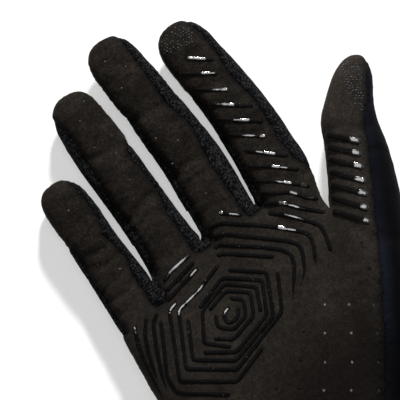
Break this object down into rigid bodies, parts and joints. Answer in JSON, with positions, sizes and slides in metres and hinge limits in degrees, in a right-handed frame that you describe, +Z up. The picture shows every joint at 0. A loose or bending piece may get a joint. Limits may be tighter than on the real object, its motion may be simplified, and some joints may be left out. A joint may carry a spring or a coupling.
{
  "type": "long-finger sport glove",
  "caption": "Right-hand long-finger sport glove lying palm up, with a suede palm, knit side strips, a stretch thumb and a raised silicone grip print.",
  "frame": {"origin": "under the middle of the glove's box, on the surface that it lies on", "axes": "+Y along the fingers from the cuff to the tips, +X towards the thumb, +Z up out of the palm"},
  "size_m": [0.1346, 0.2114, 0.0268],
  "materials": {
    "suede": "matte synthetic suede",
    "knit": "matte blue-black knit",
    "stretch": "smooth navy stretch",
    "back_knit": "olive green knit",
    "cuff_knit": "matte black knit",
    "binding": "matte black tape",
    "print": "glossy black silicone"
  },
  "bodies": {
    "root": {"palm_panel": "suede", "back_panel": "back_knit", "thumb_panel": "stretch", "pinky_side": "knit", "pinky_ring_fourchette": "knit", "ring_middle_fourchette": "knit", "middle_index_fourchette": "knit", "index_side": "knit", "cuff": "cuff_knit", "cuff_binding": "binding", "palm_rib_hexagon_1": "print", "palm_rib_hexagon_2": "print", "palm_rib_hexagon_3": "print", "palm_rib_hexagon_4": "print", "palm_rib_hexagon_5": "print", "palm_rib_hexagon_6": "print", "palm_rib_hexagon_7": "print", "palm_rib_heel_1": "print", "palm_rib_heel_2": "print", "palm_rib_side_1": "print", "palm_rib_side_2": "print", "palm_rib_side_3": "print", "palm_rib_ring_1": "print", "palm_rib_ring_2": "print", "palm_rib_ring_3": "print", "palm_rib_arc_1": "print", "palm_rib_arc_2": "print", "palm_rib_arc_3": "print", "palm_rib_arc_4": "print", "palm_rib_arc_5": "print", "palm_rib_arc_6": "print", "palm_rib_middle": "print", "index_rib_1": "print", "index_rib_2": "print", "index_rib_3": "print", "index_rib_4": "print", "index_rib_5": "print", "index_rib_6": "print", "index_rib_7": "print", "index_rib_8": "print", "index_rib_9": "print", "index_rib_10": "print", "thumb_rib_1": "print", "thumb_rib_2": "print", "thumb_rib_3": "print", "thumb_rib_4": "print", "thumb_rib_5": "print", "thumb_rib_6": "print", "thumb_rib_7": "print"}
  },
  "joints": []
}
